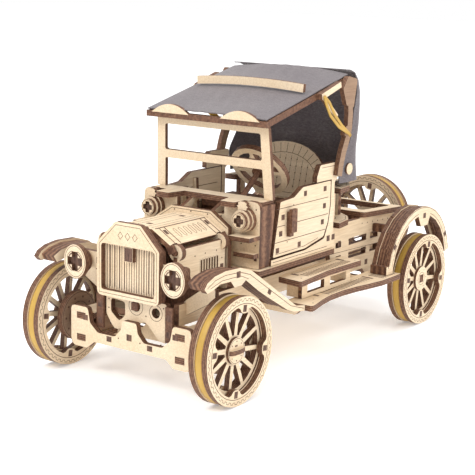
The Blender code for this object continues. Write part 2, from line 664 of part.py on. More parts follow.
def doors():
    """Planked doors hinged at the rear edge, with an upright handle near the front."""
    for side, sign in sides():
        swing = joint(f"door_{side}", (sign * BODY_X, DOOR_REAR, 100))
        rear = DOOR_REAR - 0.4
        outline = rounded([(73, 77.6, 1), (113, 77.8, 9), (137, 82.4, 3), (rear - 2.4, 92, 3), (rear, 104, 0),
                           (rear, DOOR_TOP, 1), (108, DOOR_TOP - 0.2, 5), (97, 115.6, 5), (80.5, 114.6, 1)])
        panel = plate("x", *span(sign, BODY_X - PLY, BODY_X), outline)
        grip = strip([(91, 90), (91, 107)], 4.4)
        handle = plate("x", *span(sign, BODY_X - 0.5, BODY_X + 3), grip)
        knob = plate("x", *span(sign, BODY_X + 2.5, BODY_X + 5), strip([(91, 93), (91, 109)], 6.4))
        piece(f"door_{side}", [panel, handle, knob], parent=swing)


def seat():
    low = BODY_Z + PLY + GAP
    inner = BODY_X - PLY - GAP
    piece("seat_base", [box(-inner + 2, inner - 2, 118, 154, low, 98),
                        box(-inner + 4, inner - 4, 115, 154, 97, 102)])
    fan = [(21, 102.4), (30, 112)] + [(35 * math.cos(math.radians(a)), 119 + 24.6 * math.sin(math.radians(a)))
                                      for a in range(0, 181, 12)] + [(-30, 112), (-21, 102.4)]
    piece("seat_back", [plate("y", 155, 158, fan, turn=(Vector((0, 157, 102)), "X", math.radians(-14)))])


def tub_curve(half_width, front, rear, steps=10):
    """Half-round plan outline, open towards the front."""
    depth = rear - front
    return [(half_width * math.cos(math.radians(a)), front + depth * math.sin(math.radians(a)) ** 0.8)
            for a in [180 * k / steps for k in range(steps + 1)]]


def seat_tub():
    """Rounded back of the cabin: two half-round plates with upright boards between them."""
    front = TRUNK_FRONT + 4
    outer, rear = 51.0, 200.0
    inside = tub_curve(outer - 9, front, rear - 9)[::-1]
    meshes = []
    for z in (TUB_LOW, TUB_TOP - PLY):
        meshes.append(plate("z", z, z + PLY, tub_curve(outer, front, rear) + inside))
    between = TUB_LOW + PLY - 0.5, TUB_TOP - PLY + 0.5
    meshes.append(box(-34, 34, 183, 183 + PLY, *between))
    for _, sign in sides():
        meshes.append(box(*span(sign, 38, 38 + PLY), front + 2, front + 8, *between))
    piece("seat_tub", meshes)


def trunk():
    """Box behind the cabin that holds the rubber-band motor, under a sloping open rim."""
    top_front, top_rear = 87.6, 82.0
    front, rear = TRUNK_FRONT + 4, REAR_END
    low = 45.0
    step, under_tub = 202.0, TUB_LOW - GAP
    outline = rounded([(front, 74, 3), (front + 6, low + 8, 3), (front + 24, low, 2), (rear - 34, low, 2),
                       (rear, low + 10, 3), (rear, top_rear, 0),
                       (step, top_rear + (top_front - top_rear) * (rear - step) / (rear - front), 0),
                       (step, under_tub, 0), (front, under_tub, 0)], 2)
    slots = []
    for z0, height in ((66.6, 5.0), (56.4, 5.0)):
        for y0, length in ((187, 26), (219, 12)):
            slots.append(rect(y0, z0, y0 + length, z0 + height))
        slots.append(rect(168, z0 + 0.4, 176, z0 + 4.6))
    meshes = []
    for _, sign in sides():
        meshes.append(plate("x", *span(sign, TRUNK_X - PLY, TRUNK_X), outline, slots))
    meshes.append(box(-TRUNK_X + 1, TRUNK_X - 1, rear - PLY, rear, RAIL_TOP + GAP, 66))
    meshes.append(box(-TRUNK_X + 1, TRUNK_X - 1, front, front + PLY, RAIL_TOP + 16, under_tub - 1))
    piece("trunk_box", meshes)
    slope = math.atan2(top_front - top_rear, rear - front)
    pivot = Vector((0, rear, top_rear + GAP))
    rim = rounded([(-45, 203, 3), (45, 203, 3), (45, rear + 2, 4), (-45, rear + 2, 4)])
    mouth = rounded([(-37, 215, 3), (37, 215, 3), (37, rear - 4, 3), (-37, rear - 4, 3)])
    rim_plate = plate("z", pivot.z, pivot.z + PLY, rim, [mouth], turn=(pivot, "X", -slope))
    piece("trunk_rim", [rim_plate])


def spare_bracket():
    """Arm from the trunk's rear wall with the peg that carries the spare wheel."""
    rear = REAR_END + GAP
    outline = rounded([(rear, 60, 0), (rear + 4, 60, 1), (SPARE_FRONT - 1, 64, 1), (SPARE_FRONT - 1, 72, 1),
                       (rear + 4, 78, 1), (rear, 78, 0)], 1)
    arm = [plate("x", x, x + PLY, outline) for x in (-8, 4)]
    tie = box(-7, 7, rear, rear + PLY, 61, 77)
    pad = box(-11, 11, SPARE_FRONT - 4, SPARE_FRONT - GAP, 62, 74)
    peg = rod("y", SPARE_FRONT - 2, SPARE_FRONT + WHEEL_W - 4, (0, SPARE_Z), AXLE_R)
    piece("spare_bracket", [tie, *arm, pad, peg])


# ---------------------------------------------------------------- fenders and boards
def front_fenders():
    """Four arched plies on edge; the outer one runs down to the running board."""
    upper = [(-30, 79), (-27, 82.5), (-20, 85.2), (-9, 86.6), (7, 85.9), (18.7, 82.3), (32, 74), (66, 52.4),
             (73, 48.2), (83.4, 46.4)]
    lower = [(83.4, 42.6), (70, 44.6), (62, 47.6), (37, 61.6), (27, 67.6), (13, 77), (9, 74.6), (1, 74.6),
             (-3, 79), (-14, 79.4), (-21, 77), (-27, 76)]
    inner_plies = [(-27, 80.5), (-20, 83.6), (-9, 85.4), (7, 84.5), (18.7, 81), (32, 72.6), (66, 51.2),
                   (70, 49), (68, 46.8), (60, 49.4), (34, 65), (22, 73), (8, 78.6), (-8, 79.4), (-24, 76)]
    for side, sign in sides():
        outer_ply = plate("x", *span(sign, 66, 70), upper + lower)
        stack = plate("x", *span(sign, 55, 66.5), inner_plies)
        piece(f"front_fender_{side}", [outer_ply, stack])


def rear_fenders():
    """Bent band between two arched plies over each rear wheel."""
    centre = (245, 41.0)
    outer_r, inner_r = 50.5, 44.0
    for side, sign in sides():
        low, high = 11, 168
        lobe = [(239.5, 84.6), (244.5, 76), (255.5, 76), (259, 82.6)]
        outline = (arc(*centre, outer_r, high, low, 12) + arc(*centre, inner_r, low, 72, 4)
                   + lobe[::-1] + arc(*centre, inner_r, 97, high, 5))
        outer_ply = plate("x", *span(sign, 68, 72), outline)
        plain = arc(*centre, outer_r, high, low, 10) + arc(*centre, inner_r, low, high, 9)
        inner_ply = plate("x", *span(sign, 57.5, 61), plain)
        band = (arc(*centre, outer_r - 0.9, high - 1, low + 1, 10)
                + arc(*centre, outer_r - 3.6, low + 1, high - 1, 10))
        skin = plate("x", *span(sign, 60, 69), band)
        foot = plate("x", *span(sign, 58, 71.6), rect(193, BOARD_Z + PLY + GAP, 203, 53))
        mount = box(*span(sign, 42.4, 59), 222, 226, 72, 78)
        post = plate("x", *span(sign, 58, 60.6), strip([(224, 71), (224, 86)], 7))
        piece(f"rear_fender_{side}", [outer_ply, inner_ply, skin, foot, mount, post])


def running_boards():
    z = BOARD_Z
    for side, sign in sides():
        edge = [(53, 84), (53, 206), (76, 208), (76, 180), (73.2, 163), (70.6, 150), (69, 135), (69, 119),
                (71, 105), (75, 88), (75, 84)]
        outline = rounded([(sign * x, y, 1) for x, y in edge], 1)
        piece(f"running_board_{side}", [plate("z", z, z + PLY, outline)])
        step_z = 58.0
        corners = (46, 86), (46, 168), (64.5, 168), (63, 125), (66.5, 83)
        step = rounded([(sign * x, y, 1) for x, y in corners], 1)
        plank = plate("z", step_z, step_z + PLY, step)
        wall = plate("x", *span(sign, 57, 60), rect(95, z + PLY + GAP, 160, step_z + 1),
                     [rect(102, 49.6, 124, 55.6), rect(132, 49.6, 154, 55.6)])
        ribs = [box(*span(sign, 47, 60), y, y + 4, z + PLY + GAP, step_z + 1) for y in (96, 154)]
        piece(f"step_{side}", [plank, wall, *ribs])


# ---------------------------------------------------------------- folding top
def pillars(fold):
    """Curved posts that carry the rear bow and turn on the arm-rest pivots."""
    line = [(150, 124.5), (151.5, 132), (154.5, 141), (159, 150), (161.5, 158), (162, 168), (161, 178),
            (161, 190)]
    for side, sign in sides():
        x = span(sign, BODY_X + 0.4, BODY_X + 3.8)
        post = plate("x", *x, strip(line, 6.4))
        outline = rounded([(150.5, 186, 1), (156, 174, 2), (166, 172, 1), (170, 192, 2), (157, 194.5, 2)], 2)
        head = plate("x", *x, outline)
        pivot = rod("x", *span(sign, BODY_X - PLY - 1, BODY_X + 1), (FOLD_Y, FOLD_Z), 2)
        hook = plate("x", *x, rounded([(154, 153, 1), (160, 151, 1), (164, 158, 1), (157, 160, 1)], 1))
        piece(f"top_pillar_{side}", [post, head, hook, pivot], parent=fold)
    bow_line = [(x, 190.5 + 4.5 * (1 - (x / 47) ** 2)) for x in range(-48, 49, 12)]
    bow_line = [(x if abs(x) < 48 else x / 48 * (BODY_X - 0.4), z) for x, z in bow_line]
    rear_bow = plate("y", 164.2, 168.2, strip(bow_line, 6))
    piece("rear_bow", [rear_bow], parent=fold)
    clearance = 116.8
    drop = [(169.4, 196.5), (174, 193), (179.5, 184), (181, 172), (179.6, 150), (183, 135), (188, clearance),
            (185, clearance), (180, 135), (176.6, 150), (178, 172), (176.5, 183), (172, 190), (169.4, 192)]
    sheet = plate("x", -47, 47, drop)
    piece("canopy_curtain", [sheet], FABRIC, 0.9, parent=fold)


def roof(roof_fold):
    """Front section: side rails, header and mid bow under the fabric."""
    rise = (ROOF_Z - 2 - 166) / (ROOF_Y - ROOF_FRONT)

    def height(y):
        return 166 + (y - ROOF_FRONT) * rise * 1.15

    def under_fabric(x, y):
        back = (y - ROOF_FRONT) / (ROOF_Y - ROOF_FRONT)
        return height(y) + 4.6 + 2 * back + (1 + 2 * back) * (1 - (x / ROOF_X) ** 2)

    meshes = [box(-ROOF_X - PLY, ROOF_X + PLY, ROOF_FRONT - 1, ROOF_FRONT + 3, 165.8, 170)]
    for _, sign in sides():
        line = [(y, under_fabric(ROOF_X + PLY, y) - GAP) for y in (ROOF_FRONT + 2, 96, 124, ROOF_Y - 2)]
        outline = [(y, z - RAIL_H) for y, z in line] + line[::-1]
        meshes.append(plate("x", *span(sign, ROOF_X, ROOF_X + PLY), outline))
    piece("roof_frame", meshes, parent=roof_fold)

    line = [(x, under_fabric(x, 115) + FABRIC_T + 3.2) for x in range(-45, 46, 10)]
    piece("mid_bow", [plate("y", 112, 115, strip(line, 5.6))], parent=roof_fold)
    across, rows = 10, []
    bm = bmesh.new()
    for k in range(7):
        y = ROOF_FRONT - 0.5 + (ROOF_Y + 2 - ROOF_FRONT) * k / 6
        xs = [(ROOF_X + 3.6) * (-1 + 2 * i / across) for i in range(across + 1)]
        rows.append([bm.verts.new((x, y, under_fabric(x, y) + lift)) for lift in (FABRIC_T, 0) for x in xs])
    low = across + 1
    for one, two in zip(rows, rows[1:]):
        for i in range(across):
            bm.faces.new((one[i], one[i + 1], two[i + 1], two[i]))
            bm.faces.new((one[low + i], two[low + i], two[low + i + 1], one[low + i + 1]))
        for i in (0, across):
            bm.faces.new((one[i], two[i], two[low + i], one[low + i]))
    for row in (rows[0], rows[-1]):
        for i in range(across):
            bm.faces.new((row[i], row[i + 1], row[low + i + 1], row[low + i]))
    piece("canopy_roof", [new_mesh(bm)], FABRIC, 0.9, parent=roof_fold)


def main():
    for thing in list(bpy.data.objects):
        bpy.data.objects.remove(thing)
    chassis()
    front_axle()
    steering_knuckles()
    front_wheels()
    tie_rod()
    steering_wheel()
    rear_drive()
    spare_wheel()
    radiator()
    engine()
    hood()
    headlights()
    cowl()
    cowl_lamps()
    windshield()
    body_sides()
    doors()
    seat()
    seat_tub()
    trunk()
    spare_bracket()
    front_fenders()
    rear_fenders()
    running_boards()
    pillars(joint("top_fold", (0, FOLD_Y, FOLD_Z)))
    roof(joint("roof_fold", ROOF_HINGE))


main()
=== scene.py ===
"""Plywood vintage car model kit, assembled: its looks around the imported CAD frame."""

import json
import math

import bmesh
import bpy
import numpy as np
from mathutils import Matrix, Vector
from mathutils.bvhtree import BVHTree
from mathutils.geometry import tessellate_polygon

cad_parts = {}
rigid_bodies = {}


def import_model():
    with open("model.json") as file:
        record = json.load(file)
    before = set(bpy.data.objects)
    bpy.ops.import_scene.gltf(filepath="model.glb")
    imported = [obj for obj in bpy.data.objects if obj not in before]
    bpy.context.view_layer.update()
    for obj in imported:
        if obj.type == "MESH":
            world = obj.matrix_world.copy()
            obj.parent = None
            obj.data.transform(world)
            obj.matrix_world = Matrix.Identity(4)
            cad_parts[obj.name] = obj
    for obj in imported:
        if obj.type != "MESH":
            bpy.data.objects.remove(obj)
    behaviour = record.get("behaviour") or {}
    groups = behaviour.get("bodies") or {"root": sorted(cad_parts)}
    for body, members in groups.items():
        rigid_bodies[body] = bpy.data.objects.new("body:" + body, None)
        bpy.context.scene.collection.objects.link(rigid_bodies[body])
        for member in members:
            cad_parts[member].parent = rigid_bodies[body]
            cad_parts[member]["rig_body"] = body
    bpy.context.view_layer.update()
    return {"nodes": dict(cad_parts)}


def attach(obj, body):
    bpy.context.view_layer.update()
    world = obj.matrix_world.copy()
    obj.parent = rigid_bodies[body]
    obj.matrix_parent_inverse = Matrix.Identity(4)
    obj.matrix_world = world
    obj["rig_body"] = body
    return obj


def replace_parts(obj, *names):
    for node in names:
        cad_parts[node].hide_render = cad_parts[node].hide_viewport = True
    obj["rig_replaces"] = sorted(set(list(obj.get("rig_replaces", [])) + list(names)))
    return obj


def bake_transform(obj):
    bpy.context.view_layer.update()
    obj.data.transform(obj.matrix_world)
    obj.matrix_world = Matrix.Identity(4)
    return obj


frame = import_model()

MM = 0.001
WHEEL_SIDES = 28
WHEEL_R, WHEEL_W = 35, 14
WHEEL_Z = WHEEL_R * math.cos(math.pi / WHEEL_SIDES)
WHEEL_OUT = 76.3
WHEELBASE = 247.3
SPARE_FRONT, SPARE_Z = 283.5, 68.0
CENTRE_Y = (SPARE_FRONT + WHEEL_W - WHEEL_Z) / 2

# faces that carry engraving, in mm: behind the front axle (Y), out from the middle (X) and up (Z)
RADIATOR_Y, GRILLE_Y, TAB_Y = -18, -13.7, -17
BEAM_Y, BLOCK_Y, ENGINE_PLATE_Y = -16, -11.6, -9.4
HEADLIGHT_Y, HEADLIGHT_CROSS_Y = -23, -19.2
LAMP_Y, LAMP_CROSS_Y = 48.5, 51.3
HOOD_PLATE_Y, COWL_Y = 47.5, 58
TRUNK_X, BODY_X, FRONT_FENDER_X, REAR_FENDER_X = 42, 50, 70, 72
DOOR_INSIDE_X, HOOD_SIDE_X, DRUM_X = 46, 31, 57.7
BOARD_TOP, STEP_TOP, TUB_SHELF_TOP, TUB_TOP, HOOD_TOP = 46.4, 62, 89, 114.2, 105
HEADLIGHT_X, HEADLIGHT_Z = 40.3, 78.6
LAMP_X, LAMP_Z = 38.4, 104.8

PALE, BURNT = 0.0, 1.0
AXES = {"x": Vector((1, 0, 0)), "y": Vector((0, 1, 0)), "z": Vector((0, 0, 1))}
PLANES = {"x": ("y", "z"), "y": ("x", "z"), "z": ("x", "y")}


def at(x, y, z):
    """Millimetres behind the front axle to the row frame in metres."""
    return Vector((x, y - CENTRE_Y, z)) * MM


# ---------------------------------------------------------------- camera, light and floor
def camera():
    """The photograph's view, solved from three wheels, the spare and left and right pairs of points."""
    azimuth, elevation, roll = (math.radians(a) for a in (35.121, 11.911, 1.287))
    back = Vector((math.sin(azimuth) * math.cos(elevation),
                   -math.cos(azimuth) * math.cos(elevation), math.sin(elevation)))
    right = (-back).cross(AXES["z"]).normalized()
    up = right.cross(-back)
    turned_right = math.cos(roll) * right + math.sin(roll) * up
    turned_up = -math.sin(roll) * right + math.cos(roll) * up
    matrix = Matrix((turned_right, turned_up, back)).transposed().to_4x4()
    matrix.translation = at(506.37, -617.47, 265.70)
    data = bpy.data.cameras.new("camera")
    data.lens = 96.12
    data.sensor_width = 36
    data.clip_start = 0.01
    data.clip_end = 20
    eye = bpy.data.objects.new("camera", data)
    eye.matrix_world = matrix
    bpy.context.collection.objects.link(eye)
    bpy.context.scene.camera = eye


def area_light(name, place, aim, size, power, colour=(1, 1, 1)):
    data = bpy.data.lights.new(name, "AREA")
    data.shape = "SQUARE"
    data.size = size
    data.energy = power
    data.color = colour
    lamp = bpy.data.objects.new(name, data)
    lamp.location = place
    lamp.rotation_euler = (Vector(aim) - Vector(place)).to_track_quat("-Z", "Y").to_euler()
    bpy.context.collection.objects.link(lamp)


def studio():
    """White sweep floor, bright even surround and three soft lights."""
    scene = bpy.context.scene
    scene.view_settings.view_transform = "Standard"
    world = bpy.data.worlds.new("studio")
    scene.world = world
    world.use_nodes = True
    world.node_tree.nodes["Background"].inputs["Color"].default_value = (1, 1, 1, 1)
    world.node_tree.nodes["Background"].inputs["Strength"].default_value = 1.0
    area_light("key", (-0.2, -1.1, 1.1), (0, 0, 0.08), 0.5, 9)
    area_light("fill", (1.2, 0.1, 0.7), (0, 0, 0.1), 0.9, 6)
    area_light("top", (0, 0.3, 1.4), (0, 0, 0.1), 0.8, 6)
    bm = bmesh.new()
    bmesh.ops.create_grid(bm, x_segments=4, y_segments=4, size=6)
    mesh = bpy.data.meshes.new("floor")
    bm.to_mesh(mesh)
    bm.free()
    floor = bpy.data.objects.new("floor", mesh)
    floor.location.z = -0.0003
    bpy.context.collection.objects.link(floor)
    made = bpy.data.materials.new("floor")
    made.use_nodes = True
    shader = made.node_tree.nodes["Principled BSDF"]
    shader.inputs["Base Color"].default_value = (0.97, 0.97, 0.97, 1)
    shader.inputs["Roughness"].default_value = 0.9
    shader.inputs["Emission Color"].default_value = (1, 1, 1, 1)
    shader.inputs["Emission Strength"].default_value = 0.25
    mesh.materials.append(made)


# ---------------------------------------------------------------- materials
class Nodes:
    """Short names for building one material's nodes."""

    def __init__(self, name):
        self.material = bpy.data.materials.new(name)
        self.material.use_nodes = True
        self.tree = self.material.node_tree
        self.shader = self.tree.nodes["Principled BSDF"]

    def add(self, kind, **values):
        node = self.tree.nodes.new("ShaderNode" + kind)
        for key, value in values.items():
            setattr(node, key, value)
        return node

    def link(self, out, into):
        self.tree.links.new(out, into)

    def coords(self, scale):
        """Object coordinates, stretched."""
        place = self.add("TexCoord")
        mapping = self.add("Mapping")
        mapping.inputs["Scale"].default_value = scale
        self.link(place.outputs["Object"], mapping.inputs["Vector"])
        return mapping.outputs["Vector"]

    def noise(self, scale, stretch=(1, 1, 1), detail=3.0, rough=0.5):
        node = self.add("TexNoise")
        node.inputs["Scale"].default_value = scale
        node.inputs["Detail"].default_value = detail
        node.inputs["Roughness"].default_value = rough
        self.link(self.coords(stretch), node.inputs["Vector"])
        return node.outputs["Fac"]

    def ramp(self, factor, *stops):
        node = self.add("ValToRGB")
        elements = node.color_ramp.elements
        while len(elements) < len(stops):
            elements.new(0.5)
        for element, (place, colour) in zip(elements, stops):
            element.position = place
            element.color = (*colour, 1)
        self.link(factor, node.inputs["Fac"])
        return node.outputs["Color"]

    def mix(self, factor, a, b, blend="MIX"):
        node = self.add("Mix", data_type="RGBA", blend_type=blend)
        for value, socket in ((factor, node.inputs["Factor"]), (a, node.inputs["A"]), (b, node.inputs["B"])):
            if isinstance(value, bpy.types.NodeSocket):
                self.link(value, socket)
            elif isinstance(value, (int, float)):
                socket.default_value = value
            else:
                socket.default_value = (*value, 1)
        return node.outputs["Result"]

    def math(self, operation, a, b=0.0):
        node = self.add("Math", operation=operation)
        for value, socket in ((a, node.inputs[0]), (b, node.inputs[1])):
            if isinstance(value, bpy.types.NodeSocket):
                self.link(value, socket)
            else:
                socket.default_value = value
        return node.outputs["Value"]

    def bump(self, height, strength, distance):
        node = self.add("Bump")
        node.inputs["Strength"].default_value = strength
        node.inputs["Distance"].default_value = distance
        self.link(height, node.inputs["Height"])
        self.link(node.outputs["Normal"], self.shader.inputs["Normal"])


def birch(name="birch_ply", light=((0.645, 0.505, 0.35), (0.80, 0.66, 0.485))):
    """Birch ply: pale fine-grained faces, and burnt edges with the layers showing."""
    n = Nodes(name)
    grain = n.noise(900, (1, 0.07, 1), 4, 0.6)
    cloud = n.noise(28, (1, 0.5, 1), 2)
    face = n.ramp(grain, (0.3, light[0]), (0.7, light[1]))
    tint = n.ramp(cloud, (0.3, (0.93, 0.88, 0.80)), (0.7, (1.0, 1.0, 1.0)))
    face = n.mix(1.0, face, tint, "MULTIPLY")
    edge = n.add("Attribute", attribute_name="edge").outputs["Fac"]
    layer = n.add("Attribute", attribute_name="layer").outputs["Fac"]
    wave = n.math("SINE", n.math("MULTIPLY", layer, 2 * math.pi * 3))
    wave = n.math("ADD", n.math("MULTIPLY", wave, 0.22), n.noise(500, (1, 1, 1), 3, 0.6))
    charred = n.ramp(wave, (0.3, (0.070, 0.029, 0.016)), (0.55, (0.145, 0.066, 0.036)),
                     (0.8, (0.25, 0.13, 0.072)))
    n.link(n.mix(edge, face, charred), n.shader.inputs["Base Color"])
    n.shader.inputs["Roughness"].default_value = 0.62
    n.shader.inputs["Specular IOR Level"].default_value = 0.35
    n.bump(grain, 0.25, 0.0001)
    return n.material


def burnt(name, dark, light):
    """Charred wood for engraved lines and tenon ends."""
    n = Nodes(name)
    grain = n.noise(500, (1, 1, 0.3), 3, 0.6)
    n.link(n.ramp(grain, (0.35, dark), (0.65, light)), n.shader.inputs["Base Color"])
    n.shader.inputs["Roughness"].default_value = 0.8
    return n.material


def rubber():
    n = Nodes("yellow_rubber")
    cloud = n.noise(60, (1, 1, 1), 3)
    amber = n.ramp(cloud, (0.3, (0.42, 0.25, 0.040)), (0.7, (0.52, 0.32, 0.060)))
    n.link(amber, n.shader.inputs["Base Color"])
    n.shader.inputs["Roughness"].default_value = 0.5
    n.bump(n.noise(700, (1, 1, 1), 2), 0.2, 0.0001)
    return n.material


def cloth():
    n = Nodes("grey_fabric")
    warp = n.noise(2600, (1, 0.12, 1), 2, 0.6)
    weft = n.noise(2600, (0.12, 1, 0.4), 2, 0.6)
    weave = n.math("MULTIPLY", n.math("ADD", warp, weft), 0.5)
    cloud = n.noise(25, (1, 1, 1), 3)
    yarn = n.ramp(weave, (0.35, (0.085, 0.072, 0.074)), (0.65, (0.195, 0.168, 0.172)))
    tint = n.ramp(cloud, (0.3, (0.82, 0.80, 0.84)), (0.7, (1, 1, 1)))
    n.link(n.mix(1.0, yarn, tint, "MULTIPLY"), n.shader.inputs["Base Color"])
    n.shader.inputs["Roughness"].default_value = 0.9
    n.shader.inputs["Sheen Weight"].default_value = 0.35
    n.shader.inputs["Sheen Roughness"].default_value = 0.4
    n.bump(weave, 0.5, 0.0003)
    return n.material


BIRCH = birch()
# darker copy of the birch, painted shade: the roof pillars and brake drums sit in shade, so their wood is
# darkened
SHADED_BIRCH = birch("shaded_birch_ply", ((0.24, 0.15, 0.095), (0.34, 0.22, 0.145)))
ENGRAVED = burnt("engraved_line", (0.06, 0.028, 0.016), (0.13, 0.065, 0.038))
TENON = burnt("tenon_end", (0.055, 0.026, 0.018), (0.16, 0.085, 0.055))
RUBBER = rubber()
CLOTH = cloth()


# ---------------------------------------------------------------- outlines
def rect(x0, y0, x1, y1):
    return [(x0, y0), (x1, y0), (x1, y1), (x0, y1)]


def arc(cx, cy, radius, start, end, steps):
    return [(cx + radius * math.cos(math.radians(start + (end - start) * i / steps)),
             cy + radius * math.sin(math.radians(start + (end - start) * i / steps)))
            for i in range(steps + 1)]


def circle(cx, cy, radius, sides=32):
    return arc(cx, cy, radius, 0, 360 - 360 / sides, sides - 1)


def sides():
    return (("left", 1), ("right", -1))


# ---------------------------------------------------------------- ply pieces
class Ply:
    """Plates of ply built into one mesh, with their burnt edges marked."""

    def __init__(self):
        self.bm = bmesh.new()
        self.edge = self.bm.faces.layers.float.new("edge")
        self.layer = self.bm.loops.layers.float.new("layer")

    def face(self, verts, burnt_share, depths):
        made = self.bm.faces.new(verts)
        made[self.edge] = burnt_share
        for loop, depth in zip(made.loops, depths):
            loop[self.layer] = depth

    def plate(self, axis, start, end, outline, holes=(), faces=PALE):
        loops = [outline, *holes]
        flat = [p for loop in loops for p in loop]
        caps = tessellate_polygon([[Vector((*p, 0)) for p in loop] for loop in loops])
        across, up = (AXES[name] for name in PLANES[axis])
        low, high = min(start, end), max(start, end)
        sheets = []
        for depth in (low, high):
            points = [across * p[0] + up * p[1] + AXES[axis] * depth for p in flat]
            sheets.append([self.bm.verts.new(at(*p)) for p in points])
        for sheet in sheets:
            for tri in caps:
                self.face([sheet[i] for i in tri], faces, (0, 0, 0))
        first = 0
        for loop in loops:
            for i in range(len(loop)):
                a, b = first + i, first + (i + 1) % len(loop)
                self.face((sheets[0][a], sheets[0][b], sheets[1][b], sheets[1][a]), BURNT, (0, 0, 1, 1))
            first += len(loop)

    def done(self, name, body, replaced=()):
        bmesh.ops.recalc_face_normals(self.bm, faces=self.bm.faces)
        show(name, self.bm, body, replaced, (BIRCH,))


def show(name, bm, body, replaced, materials, smooth=False):
    """An object from a bmesh; body is None for a piece that is attached to no body."""
    mesh = bpy.data.meshes.new(name)
    bm.to_mesh(mesh)
    bm.free()
    for item in materials:
        mesh.materials.append(item)
    if smooth:
        mesh.shade_smooth()
        mesh.set_sharp_from_angle(angle=math.radians(35))
    thing = bpy.data.objects.new(name, mesh)
    bpy.context.collection.objects.link(thing)
    if body:
        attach(thing, body)
    if replaced:
        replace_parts(thing, *replaced)
    return thing


def flat_regions(bm):
    """Groups of touching faces that lie in one plane."""
    seen = set()
    for start in bm.faces:
        if start in seen:
            continue
        seen.add(start)
        region, queue = [], [start]
        while queue:
            face = queue.pop()
            region.append(face)
            for edge in face.edges:
                for other in edge.link_faces:
                    if other not in seen and other.normal.dot(start.normal) > 0.9995:
                        seen.add(other)
                        queue.append(other)
        yield region


# limits that tell faces from edges, in metres like the CAD meshes
THICKEST_PLY = 0.0049
NARROWEST_FACE = 0.0043
NARROWEST_NAMED_FACE = 0.0015


def dress(node, pale=(), only=None, material=BIRCH):
    """A copy of a CAD part whose burnt edges are told from its pale faces by their thickness.

    Faces across an axis in pale are pale as well; with only, no other faces are.
    """
    bm = bmesh.new()
    bm.from_mesh(frame["nodes"][node].data)
    bmesh.ops.remove_doubles(bm, verts=bm.verts, dist=2e-6)
    bm.normal_update()
    edge_layer = bm.faces.layers.float.new("edge")
    depth_layer = bm.loops.layers.float.new("layer")
    tree = BVHTree.FromBMesh(bm)
    kinds = {}
    regions = list(flat_regions(bm))
    for region in regions:
        normal = region[0].normal
        area = sum(face.calc_area() for face in region)
        points = [v.co for face in region for v in face.verts]
        extent = max((a - points[0]).length for a in points)
        found = []
        for face in sorted(region, key=lambda f: -f.calc_area())[:8]:
            middle = face.calc_center_median()
            hit = tree.ray_cast(middle - normal * 1e-5, -normal)
            if hit[0] is not None:
                found.append((hit[3], face.calc_area()))
        found.sort()
        thick = found[len(found) // 2][0] if found else 1.0
        width = area / max(extent, 1e-6)
        is_pale = thick < THICKEST_PLY and width > NARROWEST_FACE
        for axis in pale:
            if abs(normal.dot(AXES[axis])) > 0.9 and width > NARROWEST_NAMED_FACE:
                is_pale = True
        if only:
            is_pale = abs(normal.dot(AXES[only])) > 0.9 and width > NARROWEST_NAMED_FACE
        for face in region:
            kinds[face] = is_pale
            face[edge_layer] = PALE if is_pale else BURNT
    for region in regions:
        if kinds[region[0]]:
            continue
        axis = None
        for face in region:
            for edge in face.edges:
                for other in edge.link_faces:
                    if kinds[other]:
                        axis = other.normal
        if axis is None:
            continue
        heights = [v.co.dot(axis) for face in region for v in face.verts]
        low, high = min(heights), max(heights)
        for face in region:
            for loop in face.loops:
                loop[depth_layer] = (loop.vert.co.dot(axis) - low) / max(high - low, 1e-6)
    show(f"{node}_ply", bm, frame["nodes"][node]["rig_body"], (node,), (material,))


# ---------------------------------------------------------------- engraving and tenon ends
SUNK = -0.25


class Marks:
    """Slips from SUNK below a flat surface to a hair above it: engraved lines, dots and tenon ends."""

    def __init__(self, name, body):
        self.name, self.body = name, body
        self.bm = bmesh.new()
        self.origin = self.u = self.v = self.n = None

    def on(self, axis, depth, sign=1):
        """Work on the plane across an axis; sign is the way it faces."""
        self.u, self.v = (AXES[name] for name in PLANES[axis])
        self.n = AXES[axis] * sign
        self.origin = AXES[axis] * depth
        return self

    def on_plane(self, origin, u, v, n):
        self.origin, self.u, self.v, self.n = (Vector(a) for a in (origin, u, v, n))
        return self

    def vert(self, a, b, height):
        return self.bm.verts.new(at(*(self.origin + self.u * a + self.v * b + self.n * height)))

    def solid(self, outline, top, material=0):
        rings = [[self.vert(a, b, height) for a, b in outline] for height in (SUNK, top)]
        faces = [self.bm.faces.new(ring) for ring in rings]
        for i in range(len(outline)):
            j = (i + 1) % len(outline)
            faces.append(self.bm.faces.new((rings[0][i], rings[0][j], rings[1][j], rings[1][i])))
        for face in faces:
            face.material_index = material

    def line(self, points, width=0.45, closed=False, top=0.05):
        line = [Vector(p) for p in points]
        count = len(line)
        rings = []
        for i, p in enumerate(line):
            if closed:
                along = line[(i + 1) % count] - line[i - 1]
            else:
                along = line[min(i + 1, count - 1)] - line[max(i - 1, 0)]
            along.normalize()
            side = Vector((-along.y, along.x)) * width / 2
            rings.append([self.vert(q.x, q.y, height) for q, height in
                          ((p + side, top), (p - side, top), (p - side, SUNK), (p + side, SUNK))])
        spans = list(zip(rings, rings[1:]))
        if closed:
            spans.append((rings[-1], rings[0]))
        else:
            self.bm.faces.new(rings[0])
            self.bm.faces.new(rings[-1])
        for one, two in spans:
            for i in range(4):
                j = (i + 1) % 4
                self.bm.faces.new((one[i], one[j], two[j], two[i]))

    def dots(self, *places, radius=0.55):
        for a, b in places:
            self.solid(circle(a, b, radius, 8), 0.06)

    def tenon(self, a, b, width=4.0, height=4.0, angle=0.0, top=0.12):
        turn = Matrix.Rotation(math.radians(angle), 2)
        middle = Vector((a, b))
        self.solid([tuple(middle + turn @ Vector(p)) for p in
                    rect(-width / 2, -height / 2, width / 2, height / 2)], top, material=1)

    def done(self):
        bmesh.ops.recalc_face_normals(self.bm, faces=self.bm.faces)
        show(self.name, self.bm, self.body, (), (ENGRAVED, TENON))


